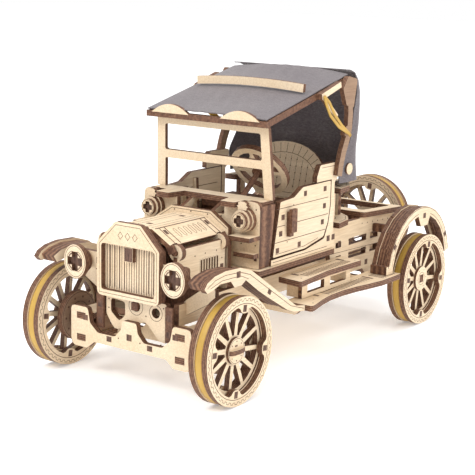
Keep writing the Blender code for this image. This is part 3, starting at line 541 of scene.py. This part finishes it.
# ---------------------------------------------------------------- wheels
FLANGE_R = 34.9
SPOKES = 12
SPOKE_TURN = 82
SPOKE_ENDS = ((9.8, 3.3), (25.6, 2.7))  # radius and spoke width at the hub and at the rim
CRESTS = 44
LOBE = ((-1.0, 0), (-0.72, 0.25), (-0.5, 0.8), (-0.28, 1.0), (0.28, 1.0), (0.5, 0.8), (0.72, 0.25), (1.0, 0))


def wheel_ring(cx, cy, radius, lobe_reach):
    """Inner outline of a wheel ply with four lobes that point to the hub."""
    points = []
    for k in range(4):
        middle = SPOKE_TURN + 90 * k
        for share, reach in LOBE:
            angle = middle + share * 15
            points += arc(cx, cy, radius - reach * lobe_reach, angle, angle, 1)[:1]
        points += arc(cx, cy, radius, middle + 15, middle + 75, 12)[1:-1]
    return points


def wheel(name, body, node, axis, outer, sign, cx, cy, front):
    """Two flange plies, a grooved core, a spoked disc and a hub."""
    def depth(a):
        return outer - sign * a

    ply = Ply()
    # both flanges have lobes, deeper ones on the outer flange
    ply.plate(axis, depth(0), depth(4), circle(cx, cy, FLANGE_R, 84), [wheel_ring(cx, cy, 28.9, 4.6)])
    ply.plate(axis, depth(10), depth(WHEEL_W), circle(cx, cy, FLANGE_R, 84), [wheel_ring(cx, cy, 27.6, 3.6)])
    ply.plate(axis, depth(3.9), depth(10.1), circle(cx, cy, 31.6, 60), [circle(cx, cy, 28.2, 60)])
    # spoked disc: tapered gaps between the spokes
    hub_r, rim_r = (radius for radius, _ in SPOKE_ENDS)
    gaps = []
    for k in range(SPOKES):
        middle = 30 * (k + 0.5) + SPOKE_TURN
        half = [15 - math.degrees(math.asin(width / 2 / radius)) for radius, width in SPOKE_ENDS]
        gaps.append(arc(cx, cy, hub_r, middle + half[0], middle - half[0], 3)
                    + arc(cx, cy, rim_r, middle - half[1], middle + half[1], 4))
    ply.plate(axis, depth(5), depth(8.8), circle(cx, cy, 28.6, 60), gaps)
    if front:
        ply.plate(axis, depth(2.9), depth(5.05), circle(cx, cy, 8.6, 40))
        fin = ((-8.2, 0), (-7.2, 2.6), (-4.4, 4.6), (0, 5.4), (4.4, 4.6), (7.2, 2.6), (8.2, 0))
        ply.plate("z", cy - 1.5, cy + 1.5, [(outer - sign * (3 - 0.55 * b), cx + a) for a, b in fin])
    else:
        square = rect(cx - 3, cy - 3, cx + 3, cy + 3)
        ply.plate(axis, depth(3.0), depth(5.05), circle(cx, cy, 9.4, 40), [square])
    ply.done(name, body, (node,))
    wheel_marks(name + "_marks", body, axis, depth, sign, cx, cy, front)


def wheel_marks(name, body, axis, depth, sign, cx, cy, front):
    """A ring, a toothed border and tenon ends on both flanges, and the hub's ring and dots."""
    marks = Marks(name, body)
    crest = []
    step = 360 / CRESTS
    for k in range(CRESTS):
        for r, share in ((33.4, 0.0), (33.4, 0.45), (32.2, 0.5), (32.2, 0.95)):
            angle = math.radians(360 * k / CRESTS + share * step)
            crest.append((cx + r * math.cos(angle), cy + r * math.sin(angle)))
    for face_depth, way in ((depth(WHEEL_W), -sign), (depth(0), sign)):
        marks.on(axis, face_depth, way)
        marks.line(circle(cx, cy, 30.4, 72), 0.4, closed=True)
        marks.line(crest, 0.35, closed=True)
        for k in range(4):
            turn = SPOKE_TURN + 90 * k
            angle = math.radians(turn)
            marks.tenon(cx + 27.3 * math.cos(angle), cy + 27.3 * math.sin(angle), 4.4, 3.6, turn)
    if axis == "x":
        marks.on(axis, depth(2.9 if front else 3.0), sign)
        if front:
            marks.dots(*[(cx + 6.3 * math.cos(math.radians(a)), cy + 6.3 * math.sin(math.radians(a)))
                         for a in (40, 90, 140, 220, 270, 320)], radius=0.5)
            marks.tenon(cx - 0.6, cy + 3.4, 2.6, 1.0)
            marks.line(circle(cx, cy, 7.9, 30), 0.3, closed=True)
        else:
            marks.line(circle(cx, cy, 4.9, 28), 0.3, closed=True)
            marks.dots(*circle(cx, cy, 7.2, 6), radius=0.4)
    marks.done()


def tyre(name, body, node, axis, middle, cx, cy):
    """Flat rubber band stretched in the groove, its edges rounded and its face crowned."""
    profile = [(-2.7, 31.9), (-2.75, 33.5), (-2.2, 34.2), (-1.0, 34.5),
               (1.0, 34.5), (2.2, 34.2), (2.75, 33.5), (2.7, 31.9)]
    across, up = (AXES[n] for n in PLANES[axis])
    bm = bmesh.new()
    rings = []
    count = 96
    for k in range(count):
        angle = 2 * math.pi * k / count
        out = across * math.cos(angle) + up * math.sin(angle)
        wave = 0.12 * math.sin(3 * angle + 1.0)
        rings.append([bm.verts.new(at(*(across * cx + up * cy + AXES[axis] * (middle + a + wave) + out * r)))
                      for a, r in profile])
    for k in range(count):
        one, two = rings[k], rings[(k + 1) % count]
        for i in range(len(profile)):
            j = (i + 1) % len(profile)
            bm.faces.new((one[i], one[j], two[j], two[i]))
    bmesh.ops.recalc_face_normals(bm, faces=bm.faces)
    show(name, bm, body, (node,) if node else (), (RUBBER,), smooth=True)


def wheels():
    for side, sign in sides():
        outer = sign * WHEEL_OUT
        for end, y, body in (("front", 0, f"front_wheel_{side}"), ("rear", WHEELBASE, "rear_axle")):
            wheel(f"{end}_wheel_{side}_ply", body, f"{end}_wheel_{side}", "x", outer, sign, y, WHEEL_Z,
                  end == "front")
            tyre(f"{end}_tyre_{side}", body, f"{end}_tyre_band_{side}", "x", outer - sign * WHEEL_W / 2,
                 y, WHEEL_Z)
    wheel("spare_wheel_ply", "chassis", "spare_wheel", "y", SPARE_FRONT + WHEEL_W, 1, 0, SPARE_Z, False)
    tyre("spare_tyre", "chassis", None, "y", SPARE_FRONT + WHEEL_W / 2, 0, SPARE_Z)


# ---------------------------------------------------------------- engraved details
def chassis_marks():
    """Lines, dots and tenon ends on everything that stays with the chassis."""
    m = Marks("chassis_marks", "chassis")
    for marks_on in (radiator_marks, beam_marks, light_marks, cowl_marks, trunk_marks, fender_marks,
                     board_marks, tub_marks, seat_marks):
        marks_on(m)
    m.done()


def radiator_marks(m):
    """Engraved frame, three small diamonds, fine grille lines, the tab and the blocks at its sides."""
    m.on("y", RADIATOR_Y, -1)
    m.line([(-23.6, 60.4), (-23.6, 92.4), (-9.8, 106.2), (9.8, 106.2), (23.6, 92.4), (23.6, 60.4)], 0.35,
           closed=True)
    for x in (-6, 0, 6):
        m.line([(x - 2, 99.6), (x, 102), (x + 2, 99.6), (x, 97.2)], 0.4, closed=True)
    m.on("y", GRILLE_Y, -1)
    for k in range(21):
        x = -20.5 + 2.05 * k
        m.line([(x, 62.6), (x, 92.8 if abs(x) > 4 else 82.6)], 0.5)
    for side in (-1, 1):
        m.tenon(side * 28.2, 79.5, 3, 4)
    m.on("y", TAB_Y, -1)
    m.solid(rect(-3.2, 83.3, 3.2, 92.1), 0.08, material=1)
    m.on("y", BLOCK_Y, -1)
    for side in (-1, 1):
        m.tenon(side * 28.6, 50, 3.4, 4)
        m.tenon(side * 28.6, 39, 3.4, 4)


def beam_marks(m):
    """Front beam and engine plate. The dots at x 26 have no beam behind them."""
    m.on("y", BEAM_Y, -1)
    m.tenon(0, 33, 4.2, 4.2)
    for side in (-1, 1):
        m.tenon(side * 17, 29, 4.2, 3.6)
        m.tenon(side * 37.5, 40, 4.2, 3.6)
        m.dots((side * 26, 33), (side * 9, 31))
    m.on("y", ENGINE_PLATE_Y, -1)
    m.line(circle(16.5, 50.8, 5.2), 0.35, closed=True)
    m.line(circle(0, 52.6, 5.8), 0.35, closed=True)
    m.dots((-22.8, 48), (-22.8, 54), (22.8, 55), (8.4, 47.4))


def cross(m, cx, cz, reach, arm, top):
    """Raised cross on the plane m works on: one bar across and a stub above and below it."""
    for a, b, c, d in ((-reach, -arm, reach, arm), (-arm, arm, arm, reach), (-arm, -reach, arm, -arm)):
        m.solid(rect(cx + a, cz + b, cx + c, cz + d), top, material=1)


def light_marks(m):
    """Rings, petals and raised crosses on the headlights and the cowl lamps."""
    for side in (-1, 1):
        cx, cz = side * HEADLIGHT_X, HEADLIGHT_Z
        m.on("y", HEADLIGHT_Y, -1)
        m.line([(cx + 8.5 * math.cos(a), cz + 10.2 * math.sin(a)) for a in
                (math.tau * k / 48 for k in range(48))], 0.35, closed=True)
        for turn in (45, 135, 225, 315):
            for r, spread, width in ((5.4, 24, 0.35), (7.0, 24, 0.35), (5.9, 20, 0.4)):
                m.line(arc(cx, cz, r, turn - spread, turn + spread, 6), width)
        m.on("y", HEADLIGHT_CROSS_Y, -1)
        cross(m, cx, cz, 6.3, 2.5, 0.9)
        m.on("y", LAMP_Y, -1)
        m.line(circle(side * LAMP_X, LAMP_Z, 5.0, 28), 0.3, closed=True)
        m.on("y", LAMP_CROSS_Y, -1)
        cross(m, side * LAMP_X, LAMP_Z, 3.8, 1.4, 0.8)


def cowl_marks(m):
    """Cowl face, then the plate at the rear of the hood."""
    m.on("y", COWL_Y, -1)
    for side in (-1, 1):
        m.dots((side * 45.8, 112), (side * 45.8, 88), (side * 34.4, 88))
        m.tenon(side * 46, 80, 2.2, 5)
    m.on("y", HOOD_PLATE_Y, -1)
    m.dots((-14, 106.6), (14, 106.6), (0, 106.9))
    m.line([(-29.6, 99), (-16, 107.6), (16, 107.6), (29.6, 99)], 0.35)


def trunk_marks(m):
    """Trunk sides and body sills.

    The wide lines at z 70.6 and 60 and the tenon at y 173 have little or no wood behind them.
    """
    for side in (-1, 1):
        m.on("x", TRUNK_X * side, side)
        m.tenon(158.4, 76.4)
        m.tenon(173, 70)
        m.tenon(214.4, 49.3)
        m.line([(186.5, 70.6), (213.4, 70.6)], 1.2)
        m.line([(221.5, 70.9), (246, 70.9)], 1.2)
        m.line([(187.3, 60), (213.6, 60)], 1.2)
        m.line([(156, 64), (258, 60.5)], 0.35)
        m.dots(*[(206 + 8 * k, 80.4 - 0.4 * k) for k in range(6)])
        m.on("x", BODY_X * side, side)
        m.line([(73, 74.4), (142, 74.4)], 0.4)
        m.tenon(143.6, 80)
        m.tenon(150.4, 80)
        m.line([(132, 131.8), (154, 131.8)], 0.35)


def fender_marks(m):
    """Border lines and tenon ends on the four fenders."""
    rear = (245, 41)
    for side in (-1, 1):
        m.on("x", FRONT_FENDER_X * side, side)
        m.line([(-27, 79), (-19, 82.6), (-9, 84), (6.6, 83.2), (17.6, 79.8), (31, 71.4), (66, 49.6),
                (82, 44.6)], 0.4)
        m.line([(-24, 78.4), (-12, 81.2), (7, 80.8), (16, 77.4)], 0.35)
        m.tenon(5, 82)
        m.tenon(40, 64.2, 4, 3.2, -32)
        m.on("x", REAR_FENDER_X * side, side)
        m.line(arc(*rear, 49.6, 166, 13, 36), 0.4)
        m.line(arc(*rear, 45.6, 166, 97, 18), 0.35)
        m.line(arc(*rear, 45.6, 72, 13, 16), 0.35)
        m.tenon(249.6, 84)
        m.tenon(204, 66.5, 4, 3.4, 50)
        m.tenon(287, 64, 4, 3.4, -50)


def board_marks(m):
    """Combs, tenon ends and dots on the running boards and the steps above them."""
    for side in (-1, 1):
        m.on("z", BOARD_TOP, 1)
        for k in range(17):
            y = 120 + 3.5 * k
            m.line([(side * 59.6, y), (side * 67, y)], 1.5)
        for k in range(6):
            y = 187 + 3.4 * k
            m.line([(side * 60, y), (side * 73, y)], 1.5)
        m.tenon(side * 63, 180, 9, 2.2)
        m.tenon(side * 60, 110.6, 8, 2.2)
        m.dots((side * 65.7, 101), (side * 71, 92), (side * 72, 200))
        m.on("z", STEP_TOP, 1)
        for k in range(18):
            y = 101 + 3.3 * k
            m.line([(side * 54.6, y), (side * 61.4, y)], 1.4)
        m.line([(side * 50, 100), (side * 50, 160)], 0.35)
        m.tenon(side * 52, 98, 6, 2.4)
        m.tenon(side * 52, 158, 6, 2.4)
        m.dots((side * 61, 92), (side * 61, 164))


def tub_marks(m):
    """Lines that follow the rounded tub behind the seat, on its lower shelf and its top."""
    for side in (-1, 1):
        curve = [(side * x, y) for x, y in ((48.8, 160), (46.6, 173), (40, 184), (30, 191))]
        m.on("z", TUB_SHELF_TOP, 1)
        m.line(curve, 0.35)
        m.on("z", TUB_TOP, 1)
        m.line(curve + [(side * 16, 195.4), (0, 197)], 0.35)
        m.tenon(side * 44, 166, 4, 4)
        m.tenon(side * 32, 184.6, 4, 4, 35)


def seat_marks(m):
    """Fan border and rows of holes on the leaning seat back."""
    lean = Matrix.Rotation(math.radians(-14), 3, "X")
    pivot = Vector((0, 157, 102))
    m.on_plane(pivot + lean @ Vector((0, -2, -102)), AXES["x"], lean @ AXES["z"], lean @ -AXES["y"])
    half, rise, base = 27.5, 18, 117.5
    inner = [(half * math.cos(math.radians(a)), base + rise * math.sin(math.radians(a)))
             for a in range(0, 181, 10)]
    inner += [(-22, 109), (-12, 106), (12, 106), (22, 109)]
    m.line(inner, 0.35, closed=True)
    for k in range(17):
        a = math.radians(4 + 172 * k / 16)
        m.line([(half * math.cos(a), base + rise * math.sin(a)),
                (34 * math.cos(a), 119 + 23.6 * math.sin(a))], 0.35)
    for k in range(9):
        x = -20 + 5 * k
        reach = rise * math.sqrt(1 - (x / half) ** 2)
        m.line([(x, 109.5), (x, 116 + reach)], 0.22)
        m.dots(*[(x, 111 + 5 * i) for i in range(6) if 111 + 5 * i < 115 + reach], radius=0.5)


def door_marks():
    """Board lines and slotted tenon ends outside the doors, and board lines inside them."""
    for side, sign in sides():
        m = Marks(f"door_marks_{side}", f"door_{side}").on("x", BODY_X * sign, sign)
        for y, z in ((111.3, 116.6), (137, 116.7), (136.9, 104.5), (134.9, 93.2), (84, 103.8), (81.6, 92.9),
                     (78.2, 81.8), (105.3, 81.9)):
            m.tenon(y, z, 3.8, 3.6)
            m.line([(y, z - 1.8), (y, z + 1.8)], 0.3, top=0.16)
        m.line([(76, 110.1), (142, 110.1)])
        m.line([(75.4, 98.1), (87, 98.1)])
        m.line([(100, 98.1), (142, 98.1)])
        m.line([(74.4, 87.3), (139, 87.3)])
        m.line([(76, 79.4), (112, 79.6), (130, 82.6)], 0.35)
        m.dots((96.8, 110.6), (90, 86))
        m.done()
        inside = Marks(f"door_inside_{side}", f"door_{side}").on("x", DOOR_INSIDE_X * sign, -sign)
        for z in (87.3, 98.1, 110.1):
            inside.line([(77, z), (140, z)])
        inside.done()


def inner_ribs():
    """Ribs between hood and windshield, dark blocks beside the engine plate, and ribs inside the doors."""
    ribs = Ply()
    for x in (-13, 13):
        ribs.plate("x", x - 1.5, x + 1.5, [(51.9, 101), (51.9, 107), (65, 112.7), (75, 112.7), (62.4, 106.2),
                                           (57.8, 106.2), (57.8, 101)])
    ribs.plate("z", 103, 105, rect(-18, 51.9, 18, 57.8))
    for side in (-1, 1):
        ribs.plate("y", BLOCK_Y, -9.8, rect(side * 25.8, 34, side * 31.6, 57), faces=BURNT)
    ribs.done("cowl_ribs", "chassis")
    for side, sign in sides():
        lining = Ply()
        for y, top in ((84, 111), (98, 112), (110, 117)):
            outline = [(46.2 * sign, 81), (41 * sign, 81), (43.4 * sign, top), (46.2 * sign, top)]
            lining.plate("y", y, y + 3, outline)
        lining.done(f"door_ribs_{side}", f"door_{side}")


def hood_marks():
    """Lines and vents on the hood's top and its two slopes, and the marks on its lifting sides."""
    m = Marks("hood_marks", "chassis").on("z", HOOD_TOP, 1)
    for x in (-9.6, -5, 5, 9.6):
        m.line([(x, -6), (x, 44)], 0.4)
    m.tenon(0, 4, 4, 3)
    m.tenon(0, 38, 4, 3)
    slope = math.atan2(HOOD_TOP - 96.3, 28 - 13)
    for side in (-1, 1):
        across = Vector((side * math.cos(slope), 0, -math.sin(slope)))
        out = Vector((side * math.sin(slope), 0, math.cos(slope)))
        m.on_plane(Vector((side * 13, 0, HOOD_TOP)), AXES["y"], across, out)
        for k in range(6):
            y = 8 + 5.2 * k
            m.line([(y - 1.2, 4.6), (y - 1.2, 10.6), (y, 12), (y + 1.2, 10.6), (y + 1.2, 4.6), (y, 3.4)], 0.4,
                   closed=True)
        for y in (-3.4, 1.6, 39.6, 44.2):
            m.line([(y, 0.6), (y, 16.6)], 0.8)
        m.tenon(-1, 5, 2.6, 4)
        m.tenon(42, 5, 2.6, 4)
        m.line([(-7, 0.4), (45, 0.4)], 0.7)
    m.done()
    for side, sign in sides():
        m = Marks(f"hood_side_marks_{side}", f"hood_{side}").on("x", HOOD_SIDE_X * sign, sign)
        m.dots((11.8, 86.6), (22.7, 86.8), (34.8, 86.7), (41, 80.8))
        m.line([(-5.4, 72), (42, 72)], 0.35)
        m.tenon(0, 79.5, 3.6, 4)
        m.tenon(41, 75, 3.6, 3.6)
        for k in range(7):
            y = 18 + 2.9 * k
            m.line([(y - 0.7, 74.4), (y - 0.7, 83.6)], 0.25)
        m.done()


def knuckle_marks():
    """Two rings and a circle of dots on each brake drum."""
    for side, sign in sides():
        m = Marks(f"drum_marks_{side}", f"knuckle_{side}").on("x", DRUM_X * sign, -sign)
        for r in (15.8, 9.4):
            m.line(circle(0, WHEEL_Z, r, 40), 0.4, closed=True)
        m.dots(*circle(0, WHEEL_Z, 12.6, 10), radius=0.8)
        m.done()


# ---------------------------------------------------------------- soft top
def under_roof(x, y):
    """Height of the front section's frame under the cloth."""
    back = (y - 62) / 99
    return 166 + (y - 62) * 0.2207 + 4.6 + 2 * back + (1 + 2 * back) * (1 - (x / 46) ** 2)


CLOTH_T = 0.7


def cloth_sheet(rows):
    """Closed mesh CLOTH_T thick from rows of points, thickened along each point's normal."""
    points = np.array(rows)
    down, across = np.gradient(points, axis=0), np.gradient(points, axis=1)
    normal = np.cross(across, down)
    normal /= np.linalg.norm(normal, axis=2, keepdims=True)
    bm = bmesh.new()
    skins = []
    for lift in (0.0, CLOTH_T):
        skins.append([[bm.verts.new(at(*p)) for p in row] for row in points - normal * lift])
    count, width = len(rows), len(rows[0])
    for k, skin in enumerate(skins):
        for i in range(count - 1):
            for j in range(width - 1):
                quad = [skin[i][j], skin[i][j + 1], skin[i + 1][j + 1], skin[i + 1][j]]
                bm.faces.new(quad if k else quad[::-1])
    border = [(0, j) for j in range(width)] + [(i, width - 1) for i in range(1, count)]
    border += [(count - 1, j) for j in range(width - 2, -1, -1)] + [(i, 0) for i in range(count - 2, 0, -1)]
    for (i, j), (a, b) in zip(border, border[1:] + border[:1]):
        bm.faces.new((skins[0][i][j], skins[0][a][b], skins[1][a][b], skins[1][i][j]))
    bmesh.ops.recalc_face_normals(bm, faces=bm.faces)
    return bm


def roof_cloth():
    """Cloth stretched over the roof frame, sagging a little in its two bays."""
    front, middle, rear = 61.6, 112, 163.2
    rows = []
    for k in range(49):
        y = front + (rear - front) * k / 48
        row = []
        for i in range(61):
            x = -49.5 + 99 * i / 60
            free = max(0.0, 1 - (x / 44) ** 2)
            bay = math.sin(math.pi * (y - 64) / 48) if y < middle else math.sin(math.pi * (y - middle) / 51.2)
            sag = 0.9 * free * max(0.0, bay)
            pull = 0.16 * math.sin(0.55 * x + 0.21 * y) * math.sin(0.09 * y + 0.05 * x) * free
            row.append((x, y, under_roof(x, y) + 0.75 - sag + pull + 0.25))
        rows.append(row)
    roof = show("canopy_cloth_front", cloth_sheet(rows), "roof", ("canopy_roof",), (CLOTH,),
                smooth=True)


def rear_curtain():
    """Cloth that hangs from the rear bow, turns round both corners and flares forward at the bottom."""
    drop = [(163.8, 198.5), (169.6, 198.2), (176, 196), (182, 190.5), (186, 182), (187.4, 172), (186.2, 160),
            (184.4, 150), (184.6, 142), (186.2, 134), (188, 126), (189, 117.2)]
    rows = []
    for k in range(61):
        s = k / 60 * (len(drop) - 1)
        i = min(int(s), len(drop) - 2)
        y, z = (a + (b - a) * (s - i) for a, b in zip(drop[i], drop[i + 1]))
        low = min(1.0, max(0.0, (196 - z) / 26))
        corner = 1.5 + 7.5 * low
        quarter = corner * math.pi / 2
        flare = min(1.0, max(0.0, (150 - z) / 22))
        forward = 5.5 * low + 15 * flare * flare * (3 - 2 * flare)
        half = 48.6 + 2.0 * low * (1 - flare) - corner
        reach = half + quarter + forward
        row = []
        for j in range(91):
            u = -1 + 2 * j / 90
            way = math.copysign(1, u)
            d = abs(u) * reach
            if d <= half:
                x, back, nx, ny = d, 0.0, 0.0, 1.0
            elif d <= half + quarter:
                a = (d - half) / corner
                x, back = half + corner * math.sin(a), corner * (1 - math.cos(a))
                nx, ny = math.sin(a), math.cos(a)
            else:
                x, back, nx, ny = half + corner, corner + d - half - quarter, 1.0, 0.0
            ripple = 0.9 * math.sin(0.16 * way * d + 0.05 * z) + 0.5 * math.sin(0.31 * d + 0.11 * z)
            wave = ripple * low * 0.8
            row.append((way * (x + nx * wave * 0.5), y - back + ny * wave, z))
        rows.append(row)
    curtain = show("canopy_cloth_rear", cloth_sheet(rows), None, ("canopy_curtain",), (CLOTH,),
                   smooth=True)
    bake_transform(curtain)


def header_clips():
    """Two bowed clips on the front edge of the roof."""
    clips = Ply()
    for side in (-1, 1):
        bow = [(side * 29 + 16 * a, 169.2 + 6.2 * (1 - a * a)) for a in (k / 8 for k in range(8, -9, -1))]
        clips.plate("y", 60.4, 63.4, bow)
    clips.done("header_clips", "roof")


def strap(side, sign):
    """Two strands of a stretched rubber band from the toggle to the pillar."""
    count = 10
    bm = bmesh.new()
    for shift in (-2.2, 2.2):
        line = [(122.5, 182.5), (127 + shift, 178), (134 + shift * 1.3, 169), (145 + shift, 160.5),
                (157, 154.5), (159.5, 152.6)]
        rings = []
        for i, (y, z) in enumerate(line):
            a, b = line[max(i - 1, 0)], line[min(i + 1, len(line) - 1)]
            along = Vector((0, b[0] - a[0], b[1] - a[1])).normalized()
            across = along.cross(AXES["x"])
            middle = Vector((sign * 55.8, y, z))
            rings.append([bm.verts.new(at(*(middle + AXES["x"] * 0.8 * math.cos(t)
                                            + across * 1.25 * math.sin(t))))
                          for t in (math.tau * q / count for q in range(count))])
        bm.faces.new(rings[0])
        bm.faces.new(rings[-1])
        for one, two in zip(rings, rings[1:]):
            for q in range(count):
                r = (q + 1) % count
                bm.faces.new((one[q], one[r], two[r], two[q]))
    bmesh.ops.recalc_face_normals(bm, faces=bm.faces)
    band = show(f"top_strap_{side}", bm, None, (), (RUBBER,), smooth=True)
    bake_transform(band)


def soft_top():
    """Both cloths, with the clips, toggles, straps and buttons that hold them."""
    roof_cloth()
    rear_curtain()
    header_clips()
    for side, sign in sides():
        bar = Ply()
        bar.plate("x", 50.5 * sign, 54.4 * sign, [(122, 180.2), (147, 187.4), (146, 191.4), (121, 184.2)])
        bar.plate("x", 50.5 * sign, 52.5 * sign, [(126, 180), (131, 181), (147, 168), (144, 165)])
        bar.done(f"strap_toggle_{side}", "roof")
        strap(side, sign)
        button = Ply()
        button.plate("x", 48.9 * sign, 50.1 * sign, circle(170, 127, 4.2, 20))
        button.done(f"curtain_button_{side}", "chassis")


# ---------------------------------------------------------------- everything
camera()
studio()
wheels()
chassis_marks()
door_marks()
hood_marks()
inner_ribs()
knuckle_marks()
soft_top()
DONE = {n for o in bpy.data.objects for n in (o.get("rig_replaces") or [])}
FACES = {"headlight": "y", "cowl_lamp": "y", "front_fender": "x", "radiator_grille": "y",
         "steering_knuckle": "x"}
for node in sorted(frame["nodes"]):
    if node in DONE:
        continue
    if node.startswith("rear_fender"):
        dress(node, only="x")
        continue
    # roof pillars and brake drums take the darker birch, which is painted shade
    dress(node, pale=next((axes for start, axes in FACES.items() if node.startswith(start)), ()),
          material=SHADED_BIRCH if node.startswith(("top_pillar", "steering_knuckle")) else BIRCH)
